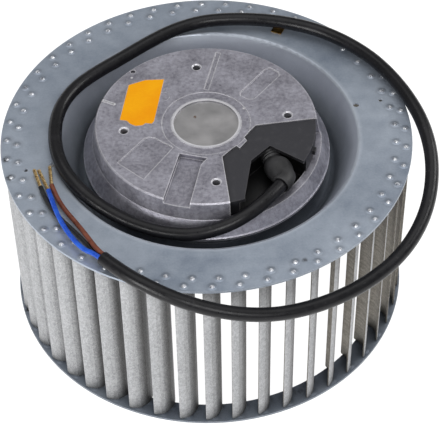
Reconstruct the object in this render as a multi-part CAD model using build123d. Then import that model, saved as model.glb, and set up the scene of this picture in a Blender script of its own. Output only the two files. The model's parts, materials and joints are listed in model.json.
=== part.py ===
from build123d import *

import math
import os

# Motorised impeller of a range hood: forward-curved fan wheel, outer-rotor motor, mounting flange and lead.
# The wheel stands on its inlet ring. Z is up along the shaft, and the origin is on the shaft's axis at the
# ring's underside. Lengths are millimetres and angles are degrees, counter-clockwise seen from above.

# Wheel
wheel_radius = 90.0
wheel_height = 90.0
sheet = 1.0
ring_width = 9.4
dish_crease_radius = 67.3
dish_crease_fillet = 1.5
dish_wall_slope = 62.0
dish_depth = 19.0
dish_floor_fillet = 3.0
collar_height = 8.0

# Blades
blade_count = 48
blade_phase = 0.95
blade_sheet = 0.6
blade_margin = 1.3
blade_depth = 9.2
blade_tip_angle = 85.0
blade_inner_angle = 10.0
blade_inner_shift = 2.45
blade_corner = 1.0
tab_insets = (1.5, 5.8)
tab_width = 1.8
tab_head_height = 0.45
tab_head_radius = 1.0
tab_head_top_radius = 0.5
tab_slot_clearance = 0.05
blade_end_clearance = 0.1

# Sheet details of the top plate
index_angle = 13.8
index_hole_radius = 1.0
index_hole_inset = 9.7
gauge_hole_radius = 1.4
gauge_hole_margin = 1.6
weight_angle = 63.0
weight_inset = 16.6
weight_width = 5.0
weight_length = 6.5
weight_sheet = 0.5

# Motor flange, with depths below its face
flange_rise = 7.2
flange_face_radius = 48.5
flange_edge_chamfer = 0.5
flange_wall_foot_radius = 49.8
flank_top_depth = 8.3
flank_step = 0.3
flank_foot_depth = 15.1
flank_foot_radius = 54.3
lip_height = 1.6
flange_wall = 4.5
pan_radius = 45.5
boss_radius = 19.3
boss_step = 0.25
boss_land = 1.2
screw_pcd = 71.8
screw_count = 4
screw_angle = 5.9
screw_core_radius = 1.65
screw_depth = 10.0
screw_boss_radius = 4.0
screw_countersink = 0.45

# Shaft and bearings
shaft_radius = 4.0
bearing_outer_radius = 11.0
bearing_width = 7.0
bearing_pitch_radius = 7.5
ball_radius = 1.985
ball_count = 7
ball_clearance = 0.05
race_wall = 2.1
race_step = 0.2
cage_half_wall = 0.8
cage_half_width = 2.4
upper_bearing_depth = 10.6
bearing_spacing = 35.6
tube_radius = 14.0
tube_reach = 0.6
spring_height = 1.0
spring_sheet = 0.4
spring_waves = 3
spring_flat = 7.0
circlip_sheet = 0.6
circlip_radius = 5.4
circlip_groove_depth = 0.4
circlip_gap = 0.1
shaft_reach = 1.3
cap_radius = 14.2
cap_sink = 0.8
cap_sheet = 0.8
cap_rim = 1.2
cap_clearance = 0.02

# Electrical parts
stack_depth = 41.2
stack_height = 20.0
air_gap = 0.3
tooth_count = 12
tooth_width = 5.0
tooth_tip = 3.0
tooth_tip_gap = 3.2
yoke_radius = 22.0
insulator_sheet = 0.8
insulator_inset = 0.6
coil_wall = 2.4
coil_yoke_gap = 2.0
coil_tip_gap = 1.0
coil_clearance = 0.1
rotor_radius = 47.0
rotor_wall = 2.0
rotor_core_depth = 4.7
rotor_foot_drop = 5.0
rotor_lip_gap = 1.0
end_ring_height = 2.5
end_ring_inset = 0.6
hub_radius = 8.0
hub_flange_radius = 12.0
hub_flange_height = 2.0
hub_neck_radius = 5.6
hub_foot_drop = 0.4
cutout_size = (12.0, 5.0, 3.5)
cutout_inset = 6.0

# Wiring pocket, its cover and the lead, with depths below the flange's face
pocket_depth = 14.6
pocket_floor = 1.4
pocket_wall = 1.5
pocket_radius = 47.2
sill_depth = 9.2
cover_gap = 0.2
cover_sink = 0.6
cover_radius = 47.8
grommet_floor = 1.4
cable_radius = 3.0
wire_radius = 1.05
conductor_radius = 0.7
label_sheet = 0.15

# Pocket outline on the flange face, and the V-shaped trough for the grommet
pocket_outline = [(6.6, -20.8), (12.6, -14.4), (14.2, -16.0), (17.4, -11.6), (16.3, -9.2), (21.6, -2.2),
                  (52.0, 1.7), (60.0, -30.0), (40.0, -60.0), (10.4, -60.0)]
trough_outline = [(27.2, -14.3), (41.6, -24.5), (62.0, -31.0), (40.0, -66.0), (21.6, -66.0), (15.4, -44.4),
                  (18.8, -23.0)]
trough_undercut = 2.6
cover_lid = 1.6

# Terminal board under the cover
terminal_room = [(27.0, -4.2), (44.4, -2.2), (43.6, -12.3), (39.0, -15.8), (30.0, -10.4), (25.5, -7.5)]
terminal_lid = 2.6
board_place = (36.8, -6.9)
board_size = (12.0, 6.0, 1.6)
pin_count = 3
pin_pitch = 3.6
pin_size = (0.8, 3.2, 6.0)

# Latch on the cover's rim, and the grommet
latch_angle = -16.5
latch_size = (2.6, 2.6, 2.2)
latch_depth = 6.2
grommet_depth = 6.6
grommet_seat_place = (26.9, -13.9)
grommet_bulb_place = (30.2, -23.4)
grommet_neck_radius = 4.2
grommet_bulb_radius = 5.7
grommet_shoulder_radius = 5.5
grommet_tail_radius = 3.9
grommet_tail_length = 4.0

# Features of the flange face
channel_outline = [(-11.7, -18.3), (0.2, -21.5), (-2.6, -25.2), (-9.4, -56.0), (-21.6, -56.0)]
channel_depth = 2.2
upper_recess = [(15.4, 18.6), (26.9, 33.2), (29.2, 34.2), (32.9, 31.2), (33.2, 29.0), (21.5, 14.4),
                (19.0, 14.2), (15.4, 16.6)]
lower_recess = [(-38.0, -23.0), (-26.6, -8.6), (-24.6, -7.9), (-22.4, -8.5), (-14.4, -14.5), (-27.0, -33.0)]
recess_depth = 0.5
rib_start = (6.3, 45.0)
rib_end = (0.4, 21.0)
rib_width = 2.0
groove_depth = 0.5
notch_start = (-45.7, 15.7)
notch_end = (-40.3, 13.0)
pin_mark_place = (-32.2, 33.6)
pin_mark_radius = 1.1
pin_mark_depth = 1.5
label_outline = [(-34.0, 25.0), (-26.7, 28.0), (-18.3, 28.2), (-22.6, 1.8), (-23.6, 0.2), (-26.3, 0.6),
                 (-27.7, -0.7), (-30.7, -1.0), (-33.0, 0.4), (-34.6, 2.4), (-37.6, 3.0)]

# The lead's route, from the grommet round the motor and the wheel to the end of its sheath,
# with heights above the top plate
cable_course = [
    (31.1, -34.4, 3.2), (25.5, -42.0, 3.2), (18.0, -48.9, 2.1), (8.2, -54.2, 0.0),
    (-3.6, -56.6, -2.1), (-16.2, -54.9, -3.4), (-28.8, -50.2, -3.5), (-40.4, -43.8, -2.4),
    (-51.2, -36.0, 0.2), (-59.8, -26.0, 3.0), (-64.8, -13.4, 4.0), (-66.3, 0.8, 4.1),
    (-64.6, 14.8, 4.0), (-58.6, 27.6, 3.8), (-48.8, 38.0, 3.4), (-37.6, 47.0, 3.4),
    (-26.4, 56.2, 3.8), (-14.6, 64.6, 4.1), (-1.4, 70.3, 4.1), (12.6, 71.6, 4.1),
    (27.0, 70.5, 4.1), (40.8, 67.4, 4.1), (53.6, 61.9, 4.1), (65.4, 53.4, 4.1),
    (75.6, 42.8, 4.1), (83.7, 30.2, 4.1), (90.0, 16.4, 4.0), (94.8, 2.2, 2.8),
    (97.2, -12.6, 0.2), (96.6, -27.0, -3.2), (93.2, -41.2, -6.4), (86.8, -54.6, -8.8),
    (78.0, -66.4, -10.2), (67.0, -76.4, -10.8), (54.6, -84.6, -10.8), (41.2, -91.0, -10.2),
    (27.2, -95.4, -8.8), (13.0, -97.2, -6.2), (-0.8, -96.6, -2.8), (-14.2, -93.8, 0.8),
    (-26.6, -88.2, 3.6), (-36.6, -80.8, 4.1), (-43.4, -74.0, 4.1),
]
wire_courses = {
    "wire_blue": [(-51.4, -69.0, 3.8), (-57.0, -61.6, 3.9), (-61.4, -53.4, 4.5), (-64.6, -44.4, 4.4),
                  (-67.4, -34.0, 2.6)],
    "wire_black": [(-50.2, -64.6, 2.2), (-56.2, -56.6, 2.0), (-61.6, -50.2, 2.0), (-65.8, -44.2, 2.0),
                   (-68.8, -37.6, 2.0), (-70.9, -31.4, 2.0)],
    "wire_brown": [(-49.4, -62.6, 3.4), (-54.7, -53.2, 2.3), (-60.2, -44.8, 2.0), (-64.0, -37.2, 2.0),
                   (-66.3, -30.3, 2.0)],
}
tip_places = {"wire_blue": (-72.2, -21.6, 2.2), "wire_black": (-74.2, -21.0, 2.0),
              "wire_brown": (-67.6, -19.4, 2.0)}
core_angles = {"wire_blue": 150.0, "wire_black": 270.0, "wire_brown": 30.0}
core_offset = 1.28
core_straight = 4.5
bend_share = 0.45

# How far a cutting solid reaches past the face that it opens
overshoot = 1.0

# Worked out from the sizes above: the wheel
plate_bottom_z = wheel_height - sheet
ring_inner_radius = wheel_radius - ring_width
blade_outer_radius = wheel_radius - blade_margin
blade_inner_radius = blade_outer_radius - blade_depth
blade_curve_radius = blade_depth / (math.sin(math.radians(blade_tip_angle))
                                    + math.sin(math.radians(blade_inner_angle)))
blade_centre = (blade_inner_radius + blade_curve_radius * math.sin(math.radians(blade_inner_angle)),
                blade_inner_shift - blade_curve_radius * math.cos(math.radians(blade_inner_angle)))

# The lead's places, which follow the wheel's top
cable_route = [(x, y, wheel_height + rise) for x, y, rise in cable_course]
wire_routes = {name: [(x, y, wheel_height + rise) for x, y, rise in course]
               for name, course in wire_courses.items()}
conductor_tips = {name: (x, y, wheel_height + rise) for name, (x, y, rise) in tip_places.items()}

# The motor's heights, which follow the wheel's top
flange_face_z = wheel_height + flange_rise
flank_top_z = flange_face_z - flank_top_depth
flank_foot_z = flange_face_z - flank_foot_depth
lip_foot_z = flank_foot_z - lip_height
pan_top_z = flange_face_z - flange_wall
cap_top_z = flange_face_z - cap_sink
upper_bearing_z = flange_face_z - upper_bearing_depth
lower_bearing_z = upper_bearing_z - bearing_spacing
upper_bearing_top_z = upper_bearing_z + bearing_width
lower_bearing_top_z = lower_bearing_z + bearing_width
tube_foot_z = lower_bearing_z - tube_reach
shaft_top_z = upper_bearing_top_z + shaft_reach
stack_z = flange_face_z - stack_depth
stack_top_z = stack_z + stack_height
rotor_foot_z = lower_bearing_z - rotor_foot_drop
rotor_top_z = lip_foot_z - rotor_lip_gap
pocket_floor_z = flange_face_z - pocket_depth
sill_z = flange_face_z - sill_depth
cover_top_z = flange_face_z - cover_sink
latch_z = flange_face_z - latch_depth
grommet_z = flange_face_z - grommet_depth
grommet_seat = (*grommet_seat_place, grommet_z)
grommet_bulb = (*grommet_bulb_place, grommet_z)

# The motor's radii, from the rotor inwards
rotor_inner_radius = rotor_radius - rotor_wall
rotor_core_radius = rotor_inner_radius - rotor_core_depth
stator_radius = rotor_core_radius - air_gap
coil_inner_radius = yoke_radius + coil_yoke_gap
coil_outer_radius = stator_radius - tooth_tip - coil_tip_gap
bearing_shoulder_radius = bearing_outer_radius - race_wall - race_step


def polar(radius, angle):
    """Point at a radius and an angle in the horizontal plane."""
    return radius * math.cos(math.radians(angle)), radius * math.sin(math.radians(angle))


def turned(profile):
    """Solid of revolution of (radius, height) points about the shaft."""
    face = make_face(Polyline(*[(r, 0, z) for r, z in profile], close=True))
    return revolve(face, Axis.Z)


def tube(outer, inner, bottom, top):
    """Round tube or ring between two heights."""
    return turned([(inner, bottom), (outer, bottom), (outer, top), (inner, top)])


def disc(radius, bottom, top, place=(0.0, 0.0)):
    """Upright cylinder between two heights."""
    return Pos(place[0], place[1], bottom) * Cylinder(radius, top - bottom,
                                                      align=(Align.CENTER, Align.CENTER, Align.MIN))


def face_outline(outline):
    """Flat face of a plan outline."""
    return make_face(Polyline(*outline, close=True))


def prism(outline, bottom, top):
    """Upright prism of a plan outline between two heights."""
    return extrude(Pos(0, 0, bottom) * face_outline(outline), top - bottom)


def bar(start, end, width, bottom, top):
    """Upright-sided bar from one plan point to another."""
    length = math.dist(start, end)
    angle = math.degrees(math.atan2(end[1] - start[1], end[0] - start[0]))
    middle = ((start[0] + end[0]) / 2, (start[1] + end[1]) / 2, bottom)
    return Pos(*middle) * Rot(0, 0, angle) * Box(length, width, top - bottom,
                                                 align=(Align.CENTER, Align.CENTER, Align.MIN))


def around(solid, count, first=0.0):
    """Copies of a solid, evenly spaced about the shaft."""
    return [Rot(0, 0, first + 360.0 * k / count) * solid for k in range(count)]


# Wheel

def plate_section():
    """Closed section of the top plate in the XZ plane."""
    slope = math.radians(dish_wall_slope)
    floor_z = wheel_height - dish_depth
    crease_z = wheel_height - dish_crease_fillet
    wall_top = (dish_crease_radius - dish_crease_fillet * math.sin(slope),
                crease_z + dish_crease_fillet * math.cos(slope))
    floor_centre_z = floor_z + dish_floor_fillet
    wall_run = (wall_top[1] - floor_centre_z + dish_floor_fillet * math.cos(slope)) / math.tan(slope)
    wall_foot = (wall_top[0] - wall_run, floor_centre_z - dish_floor_fillet * math.cos(slope))
    floor_start = wall_foot[0] - dish_floor_fillet * math.sin(slope)
    collar_foot_z = floor_z - sheet - collar_height
    collar_radius = rotor_radius + sheet

    def arc_point(centre, radius, angle):
        return centre[0] + radius * math.cos(angle), centre[1] + radius * math.sin(angle)

    crease_centre = (dish_crease_radius, crease_z)
    floor_centre = (floor_start, floor_centre_z)
    crease_mid = math.radians(90.0) + slope / 2
    floor_mid = math.radians(-90.0) + slope / 2

    def point(pair):
        return pair[0], 0, pair[1]

    over = dish_crease_fillet - sheet
    under = dish_floor_fillet + sheet
    low_head = arc_point(crease_centre, over, math.radians(90.0) + slope)
    low_foot = arc_point(floor_centre, under, math.radians(-90.0) + slope)
    edges = [
        Line(point((wheel_radius, wheel_height)), point((dish_crease_radius, wheel_height))),
        ThreePointArc(point((dish_crease_radius, wheel_height)),
                      point(arc_point(crease_centre, dish_crease_fillet, crease_mid)), point(wall_top)),
        Line(point(wall_top), point(wall_foot)),
        ThreePointArc(point(wall_foot), point(arc_point(floor_centre, dish_floor_fillet, floor_mid)),
                      point((floor_start, floor_z))),
        Line(point((floor_start, floor_z)), point((rotor_radius, floor_z))),
        Line(point((rotor_radius, floor_z)), point((rotor_radius, collar_foot_z))),
        Line(point((rotor_radius, collar_foot_z)), point((collar_radius, collar_foot_z))),
        Line(point((collar_radius, collar_foot_z)), point((collar_radius, floor_z - sheet))),
        Line(point((collar_radius, floor_z - sheet)), point((floor_start, floor_z - sheet))),
        ThreePointArc(point((floor_start, floor_z - sheet)), point(arc_point(floor_centre, under, floor_mid)),
                      point(low_foot)),
        Line(point(low_foot), point(low_head)),
        ThreePointArc(point(low_head), point(arc_point(crease_centre, over, crease_mid)),
                      point((dish_crease_radius, plate_bottom_z))),
        Line(point((dish_crease_radius, plate_bottom_z)), point((wheel_radius, plate_bottom_z))),
        Line(point((wheel_radius, plate_bottom_z)), point((wheel_radius, wheel_height))),
    ]
    return make_face(edges)


def blade_place(radius, angle):
    """Point (x, y) on an arc about the blade's centre, where the arc leans by an angle from the radial."""
    turn = math.radians(angle)
    return blade_centre[0] + radius * math.sin(turn), blade_centre[1] + radius * math.cos(turn)


def tab_place(inset):
    """Place (x, y) and lean of a tab on the blade that lies along +X."""
    angle = math.degrees(math.asin((blade_outer_radius - inset - blade_centre[0]) / blade_curve_radius))
    x, y = blade_place(blade_curve_radius, angle)
    return x, y, -angle


def tab_cutters(bottom, top):
    """Boxes where the blades' tabs pass through a sheet."""
    cutters = []
    for inset in tab_insets:
        x, y, lean = tab_place(inset)
        box = Box(tab_width + 2 * tab_slot_clearance, blade_sheet + 2 * tab_slot_clearance, top - bottom,
                  align=(Align.CENTER, Align.CENTER, Align.MIN))
        cutters += around(Pos(x, y, bottom) * Rot(0, 0, lean) * box, blade_count, blade_phase)
    return cutters


def impeller_plate():
    """Dished top plate with its tab slots, index holes and gauge holes."""
    plate = revolve(plate_section(), Axis.Z)
    holes = []
    index_place = wheel_radius - index_hole_inset
    gauge_place = dish_crease_radius + gauge_hole_margin
    for place, radius in ((index_place, index_hole_radius), (gauge_place, gauge_hole_radius)):
        for angle in (index_angle, index_angle + 180.0):
            holes.append(disc(radius, plate_bottom_z - sheet, wheel_height + sheet, polar(place, angle)))
    return plate - (holes + tab_cutters(plate_bottom_z - sheet, wheel_height + sheet))


def inlet_ring():
    """Flat ring that carries the blades' lower ends and stands on the bench."""
    return tube(wheel_radius, ring_inner_radius, 0, sheet) - tab_cutters(-sheet, 2 * sheet)


def blade():
    """One curved blade with rounded corners, two clinched tabs at the top and two flush ones below."""
    outer = blade_curve_radius + blade_sheet / 2
    inner = blade_curve_radius - blade_sheet / 2
    first = -blade_inner_angle
    last = blade_tip_angle
    middle = (first + last) / 2
    edges = [
        ThreePointArc(blade_place(outer, first), blade_place(outer, middle), blade_place(outer, last)),
        Line(blade_place(outer, last), blade_place(inner, last)),
        ThreePointArc(blade_place(inner, last), blade_place(inner, middle), blade_place(inner, first)),
        Line(blade_place(inner, first), blade_place(outer, first)),
    ]
    bottom = sheet + blade_end_clearance
    top = plate_bottom_z - blade_end_clearance
    body = extrude(Pos(0, 0, bottom) * make_face(edges), top - bottom)
    level = body.edges().filter_by(GeomType.LINE).filter_by(Axis.Z, reverse=True)
    body = fillet(level, blade_corner)
    for inset in tab_insets:
        x, y, lean = tab_place(inset)
        tab = Box(tab_width, blade_sheet, wheel_height, align=(Align.CENTER, Align.CENTER, Align.MIN))
        head = Cone(tab_head_radius, tab_head_top_radius, tab_head_height,
                    align=(Align.CENTER, Align.CENTER, Align.MIN))
        body += Pos(x, y, 0) * Rot(0, 0, lean) * tab
        body += Pos(x, y, wheel_height) * head
    return body


def balance_weight():
    """Small brass leaf, fixed on the top plate to balance the wheel."""
    inner = polar(wheel_radius - weight_inset, weight_angle)
    outer = polar(wheel_radius - weight_inset + weight_length, weight_angle)
    return bar(inner, outer, weight_width, wheel_height, wheel_height + weight_sheet)


# Rotor

def rotor_housing():
    """Deep-drawn steel cup that closes the motor and carries the wheel."""
    return turned([(hub_radius, rotor_foot_z), (rotor_radius, rotor_foot_z), (rotor_radius, rotor_top_z),
                   (rotor_inner_radius, rotor_top_z), (rotor_inner_radius, rotor_foot_z + rotor_wall),
                   (hub_radius, rotor_foot_z + rotor_wall)])


def rotor_core():
    """Ring of rotor laminations, pressed into the cup."""
    return tube(rotor_inner_radius, rotor_core_radius, stack_z, stack_top_z)


def rotor_end_rings():
    """Cast rings that join the rotor bars above and below the laminations."""
    inner = rotor_core_radius + end_ring_inset
    return [tube(rotor_inner_radius, inner, stack_z - end_ring_height, stack_z),
            tube(rotor_inner_radius, inner, stack_top_z, stack_top_z + end_ring_height)]


def rotor_hub():
    """Steel bush that joins the cup to the shaft and seats the lower bearing."""
    foot = rotor_foot_z - hub_foot_drop
    flange_z = rotor_foot_z + rotor_wall
    flange_top_z = flange_z + hub_flange_height
    return turned([(shaft_radius, foot), (hub_radius, foot), (hub_radius, flange_z),
                   (hub_flange_radius, flange_z), (hub_flange_radius, flange_top_z),
                   (hub_neck_radius, flange_top_z), (hub_neck_radius, lower_bearing_z),
                   (shaft_radius, lower_bearing_z)])


def rotor_shaft():
    """Shaft with a groove for its retaining ring."""
    groove_z = upper_bearing_top_z + circlip_gap
    groove_radius = shaft_radius - circlip_groove_depth
    return turned([(0, rotor_foot_z - hub_foot_drop), (shaft_radius, rotor_foot_z - hub_foot_drop),
                   (shaft_radius, groove_z), (groove_radius, groove_z),
                   (groove_radius, groove_z + circlip_sheet), (shaft_radius, groove_z + circlip_sheet),
                   (shaft_radius, shaft_top_z), (0, shaft_top_z)])


def retaining_ring():
    """Open ring in the shaft's groove, above the upper bearing."""
    groove_z = upper_bearing_top_z + circlip_gap
    ring = tube(circlip_radius, shaft_radius - circlip_groove_depth, groove_z, groove_z + circlip_sheet)
    mouth = bar((0, 0), (circlip_radius * 2, 0), shaft_radius, groove_z - overshoot,
                groove_z + circlip_sheet + overshoot)
    return ring - mouth


# Bearings

def raceway(bottom):
    """Torus that cuts the balls' groove into a race."""
    return Pos(0, 0, bottom + bearing_width / 2) * Torus(bearing_pitch_radius, ball_radius + ball_clearance)


def inner_race(bottom):
    """Inner race, on the shaft."""
    outer = shaft_radius + race_wall
    return tube(outer, shaft_radius, bottom, bottom + bearing_width) - raceway(bottom)


def outer_race(bottom):
    """Outer race, in the flange's bearing tube."""
    inner = bearing_outer_radius - race_wall
    return tube(bearing_outer_radius, inner, bottom, bottom + bearing_width) - raceway(bottom)


def ball_place(bottom):
    """Place of the first ball of a bearing."""
    return Pos(bearing_pitch_radius, 0, bottom + bearing_width / 2)


def balls(bottom):
    """Balls of one bearing."""
    return around(ball_place(bottom) * Sphere(ball_radius), ball_count)


def cage(bottom):
    """Cage that keeps the balls apart."""
    middle = bottom + bearing_width / 2
    ring = tube(bearing_pitch_radius + cage_half_wall, bearing_pitch_radius - cage_half_wall,
                middle - cage_half_width, middle + cage_half_width)
    pocket = ball_place(bottom) * Rot(0, 90, 0) * Cylinder(ball_radius + ball_clearance, bearing_pitch_radius)
    return ring - around(pocket, ball_count)


def wave_spring():
    """Wave washer that preloads the upper bearing's outer race."""
    foot = upper_bearing_z - spring_height
    ring = tube(bearing_outer_radius - race_step, bearing_shoulder_radius + race_step, foot, upper_bearing_z)
    lift = spring_height - spring_sheet
    reach = 2 * bearing_outer_radius
    for k in range(spring_waves):
        crest = polar(reach, 360.0 * k / spring_waves)
        trough = polar(reach, 360.0 * (k + 0.5) / spring_waves)
        ring -= bar((0, 0), crest, spring_flat, foot - spring_height, foot + lift)
        ring -= bar((0, 0), trough, spring_flat, foot + spring_sheet, upper_bearing_z + spring_height)
    return ring


# Stator

def bearing_cap():
    """Pressed steel cap over the upper bearing, in the middle of the flange."""
    outer = cap_radius - cap_clearance
    foot = cap_top_z - cap_rim
    return turned([(0, cap_top_z - cap_sheet), (outer - cap_sheet, cap_top_z - cap_sheet),
                   (outer - cap_sheet, foot), (outer, foot), (outer, cap_top_z), (0, cap_top_z)])


def screw_places():
    """Places of the mounting screws' holes."""
    return [polar(screw_pcd / 2, screw_angle + 360.0 * k / screw_count) for k in range(screw_count)]


def face_recess(outline, depth):
    """Shallow pocket in the flange face."""
    return prism(outline, flange_face_z - depth, flange_face_z + overshoot)


def motor_flange():
    """Die-cast flange: face, skirt, ledge, wiring pocket and the tube that holds bearings and stator."""
    edge = flange_edge_chamfer
    body = turned([(0, pan_top_z), (pan_radius, pan_top_z), (pan_radius, lip_foot_z),
                   (flank_foot_radius, lip_foot_z), (flank_foot_radius, flank_foot_z - edge),
                   (flank_foot_radius - edge, flank_foot_z),
                   (flange_wall_foot_radius + flank_step, flank_top_z - flank_step),
                   (flange_wall_foot_radius, flank_top_z), (flange_face_radius, flange_face_z - edge),
                   (flange_face_radius - edge, flange_face_z), (0, flange_face_z)])
    body += disc(tube_radius, tube_foot_z, pan_top_z)
    core_top_z = flange_face_z - flange_wall / 2
    for x, y in screw_places():
        body += disc(screw_boss_radius, flange_face_z - screw_depth - pocket_wall, core_top_z, (x, y))

    inside = disc(pan_radius, pocket_floor_z - pocket_floor, core_top_z)
    pocket = face_outline(pocket_outline)
    grown = offset(pocket, pocket_wall)
    body += inside & extrude(Pos(0, 0, pocket_floor_z - pocket_floor) * grown,
                             core_top_z - pocket_floor_z + pocket_floor)
    deep = extrude(Pos(0, 0, pocket_floor_z) * pocket, flange_face_z)
    high = extrude(Pos(0, 0, sill_z) * pocket, flange_face_z)
    body -= deep & disc(pocket_radius, pocket_floor_z, 2 * flange_face_z)
    body -= high

    above_z = flange_face_z + overshoot
    body -= disc(cap_radius, cap_top_z - cap_rim, above_z)
    body -= disc(bearing_outer_radius, upper_bearing_z - spring_height, above_z)
    body -= disc(bearing_outer_radius, tube_foot_z - overshoot, lower_bearing_top_z)
    body -= disc(bearing_shoulder_radius, tube_foot_z, flange_face_z)
    countersink = Cone(screw_core_radius, screw_core_radius + screw_countersink, screw_countersink,
                       align=(Align.CENTER, Align.CENTER, Align.MAX))
    for x, y in screw_places():
        body -= disc(screw_core_radius, flange_face_z - screw_depth, above_z, (x, y))
        body -= Pos(x, y, flange_face_z) * countersink

    ring_step = disc(boss_radius, flange_face_z - boss_step, above_z)
    body -= ring_step - disc(cap_radius + boss_land, 0, 2 * flange_face_z)
    body -= face_recess(channel_outline, channel_depth)
    body -= face_recess(upper_recess, recess_depth)
    body -= face_recess(lower_recess, recess_depth)
    body -= face_recess(label_outline, label_sheet)
    body -= bar(rib_start, rib_end, rib_width, flange_face_z - groove_depth, above_z)
    body -= bar(notch_start, notch_end, rib_width / 2, flange_face_z - groove_depth, above_z)
    body -= disc(pin_mark_radius, flange_face_z - pin_mark_depth, above_z, pin_mark_place)
    return body


def toothed_disc(tip_radius, bore_radius, bottom, top, width):
    """Star of teeth on a yoke, for the laminations and the insulators."""
    body = disc(yoke_radius, bottom, top)
    tooth = Box(tip_radius, width, top - bottom, align=(Align.MIN, Align.CENTER, Align.MIN))
    for piece in around(Pos(0, 0, bottom) * tooth, tooth_count):
        body += piece
    tips = tube(tip_radius, tip_radius - tooth_tip, bottom, top)
    gap = Box(2 * tip_radius, tooth_tip_gap, top - bottom, align=(Align.MIN, Align.CENTER, Align.MIN))
    tips -= around(Pos(0, 0, bottom) * gap, tooth_count, 180.0 / tooth_count)
    body += tips
    body = body & disc(tip_radius, bottom, top)
    return body - disc(bore_radius, bottom - overshoot, top + overshoot)


def stator_core():
    """Stack of stator laminations, pressed on the bearing tube."""
    return toothed_disc(stator_radius, tube_radius, stack_z, stack_top_z, tooth_width)


def insulator(bottom):
    """Moulded insulator on one end of the stack."""
    return toothed_disc(stator_radius - insulator_inset, tube_radius + insulator_inset, bottom,
                        bottom + insulator_sheet, tooth_width)


def coil_span():
    """Lowest and highest height of a coil's inside."""
    return stack_z - insulator_sheet - coil_clearance, stack_top_z + insulator_sheet + coil_clearance


def windings():
    """One coil on each tooth."""
    low, high = coil_span()
    length = coil_outer_radius - coil_inner_radius
    inner_width = tooth_width + 2 * coil_clearance
    align = (Align.MIN, Align.CENTER, Align.MIN)
    outside = Box(length, inner_width + 2 * coil_wall, high - low + 2 * coil_wall, align=align)
    inside = Box(length, inner_width, high - low, align=align)
    coil = Pos(coil_inner_radius, 0, low - coil_wall) * outside - Pos(coil_inner_radius, 0, low) * inside
    return around(coil, tooth_count)


def thermal_cutout():
    """Thermal cut-out that lies on the upper winding heads."""
    seat = coil_span()[1] + coil_wall
    return Pos(0, coil_outer_radius - cutout_inset, seat) * Box(*cutout_size,
                                                                align=(Align.CENTER, Align.CENTER, Align.MIN))


# Cover and lead

def cover_shape():
    """Block that fills the wiring pocket, before it is hollowed."""
    outline = offset(face_outline(pocket_outline), -cover_gap)
    low = extrude(Pos(0, 0, pocket_floor_z) * outline, cover_top_z - pocket_floor_z)
    low &= disc(pocket_radius - cover_gap, pocket_floor_z, cover_top_z)
    high = extrude(Pos(0, 0, sill_z + cover_gap) * outline, cover_top_z - sill_z - cover_gap)
    high &= disc(cover_radius, sill_z + cover_gap, cover_top_z)
    return low + high


def terminal_cover():
    """Plastic cover of the wiring pocket, with the V-shaped trough that the lead leaves by."""
    trough = face_outline(trough_outline)
    wide = offset(trough, trough_undercut)
    body = cover_shape()
    trough_floor_z = pocket_floor_z + grommet_floor
    body -= extrude(Pos(0, 0, trough_floor_z) * wide, cover_top_z - cover_lid - trough_floor_z)
    body -= extrude(Pos(0, 0, trough_floor_z) * trough, 2 * cover_top_z)
    body -= prism(terminal_room, pocket_floor_z, cover_top_z - terminal_lid)
    body -= rod(grommet_seat, grommet_bulb, grommet_neck_radius)
    latch = Box(*latch_size, align=(Align.CENTER, Align.CENTER, Align.MIN))
    x, y = polar(cover_radius, latch_angle)
    return body + Pos(x, y, latch_z) * Rot(0, 0, latch_angle) * latch


def terminal_board():
    """Moulded board that joins the lead to the windings."""
    return Pos(board_place[0], board_place[1], pocket_floor_z) * Box(
        *board_size, align=(Align.CENTER, Align.CENTER, Align.MIN))


def terminal_pins():
    """Blade terminals on the board."""
    pin = Box(*pin_size, align=(Align.CENTER, Align.CENTER, Align.MIN))
    seat = pocket_floor_z + board_size[2]
    first = board_place[0] - pin_pitch * (pin_count - 1) / 2
    return [Pos(first + pin_pitch * k, board_place[1], seat) * pin for k in range(pin_count)]


def rod(start, end, start_radius, end_radius=None):
    """Straight rod or cone from one point to another."""
    axis = Vector(*end) - Vector(*start)
    seat = Plane(origin=start, z_dir=axis)
    align = (Align.CENTER, Align.CENTER, Align.MIN)
    if end_radius is None or end_radius == start_radius:
        return seat * Cylinder(start_radius, axis.length, align=align)
    return seat * Cone(start_radius, end_radius, axis.length, align=align)


def cable_grommet():
    """Rubber elbow that leads the cable out of the cover."""
    leave = Vector(*cable_route[0])
    along = (Vector(*cable_route[1]) - leave).normalized()
    knee = leave - along * grommet_tail_length
    body = rod(grommet_seat, grommet_bulb, grommet_neck_radius)
    body += Pos(*grommet_bulb) * Sphere(grommet_bulb_radius)
    body += rod(grommet_bulb, tuple(knee), grommet_shoulder_radius, grommet_tail_radius)
    body += Pos(*tuple(knee)) * Sphere(grommet_tail_radius)
    body += rod(tuple(knee), tuple(leave), grommet_tail_radius)
    return body


def corner_radii(points):
    """Radius of the arc at each corner of a route, as large as its two runs allow."""
    radii = []
    for before, corner, after in zip(points, points[1:], points[2:]):
        arrive = Vector(*corner) - Vector(*before)
        leave = Vector(*after) - Vector(*corner)
        half_turn = math.radians(arrive.get_angle(leave)) / 2
        radii.append(bend_share * min(arrive.length, leave.length) / math.tan(half_turn))
    return radii


def lead(name, points, radius):
    """Round lead along a route of straight runs joined by tangent arcs."""
    radii = corner_radii(points)
    print(name, "corner radii", [round(value, 1) for value in radii])
    path = FilletPolyline(*points, radius=radii)
    start = Plane(origin=points[0], z_dir=Vector(*points[1]) - Vector(*points[0]))
    solid = sweep(start * Circle(radius), path=path)
    ratio = solid.volume / (math.pi * radius ** 2 * path.length)
    print(name, "length", round(path.length, 1), "volume ratio", round(ratio, 5))
    return solid


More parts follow.
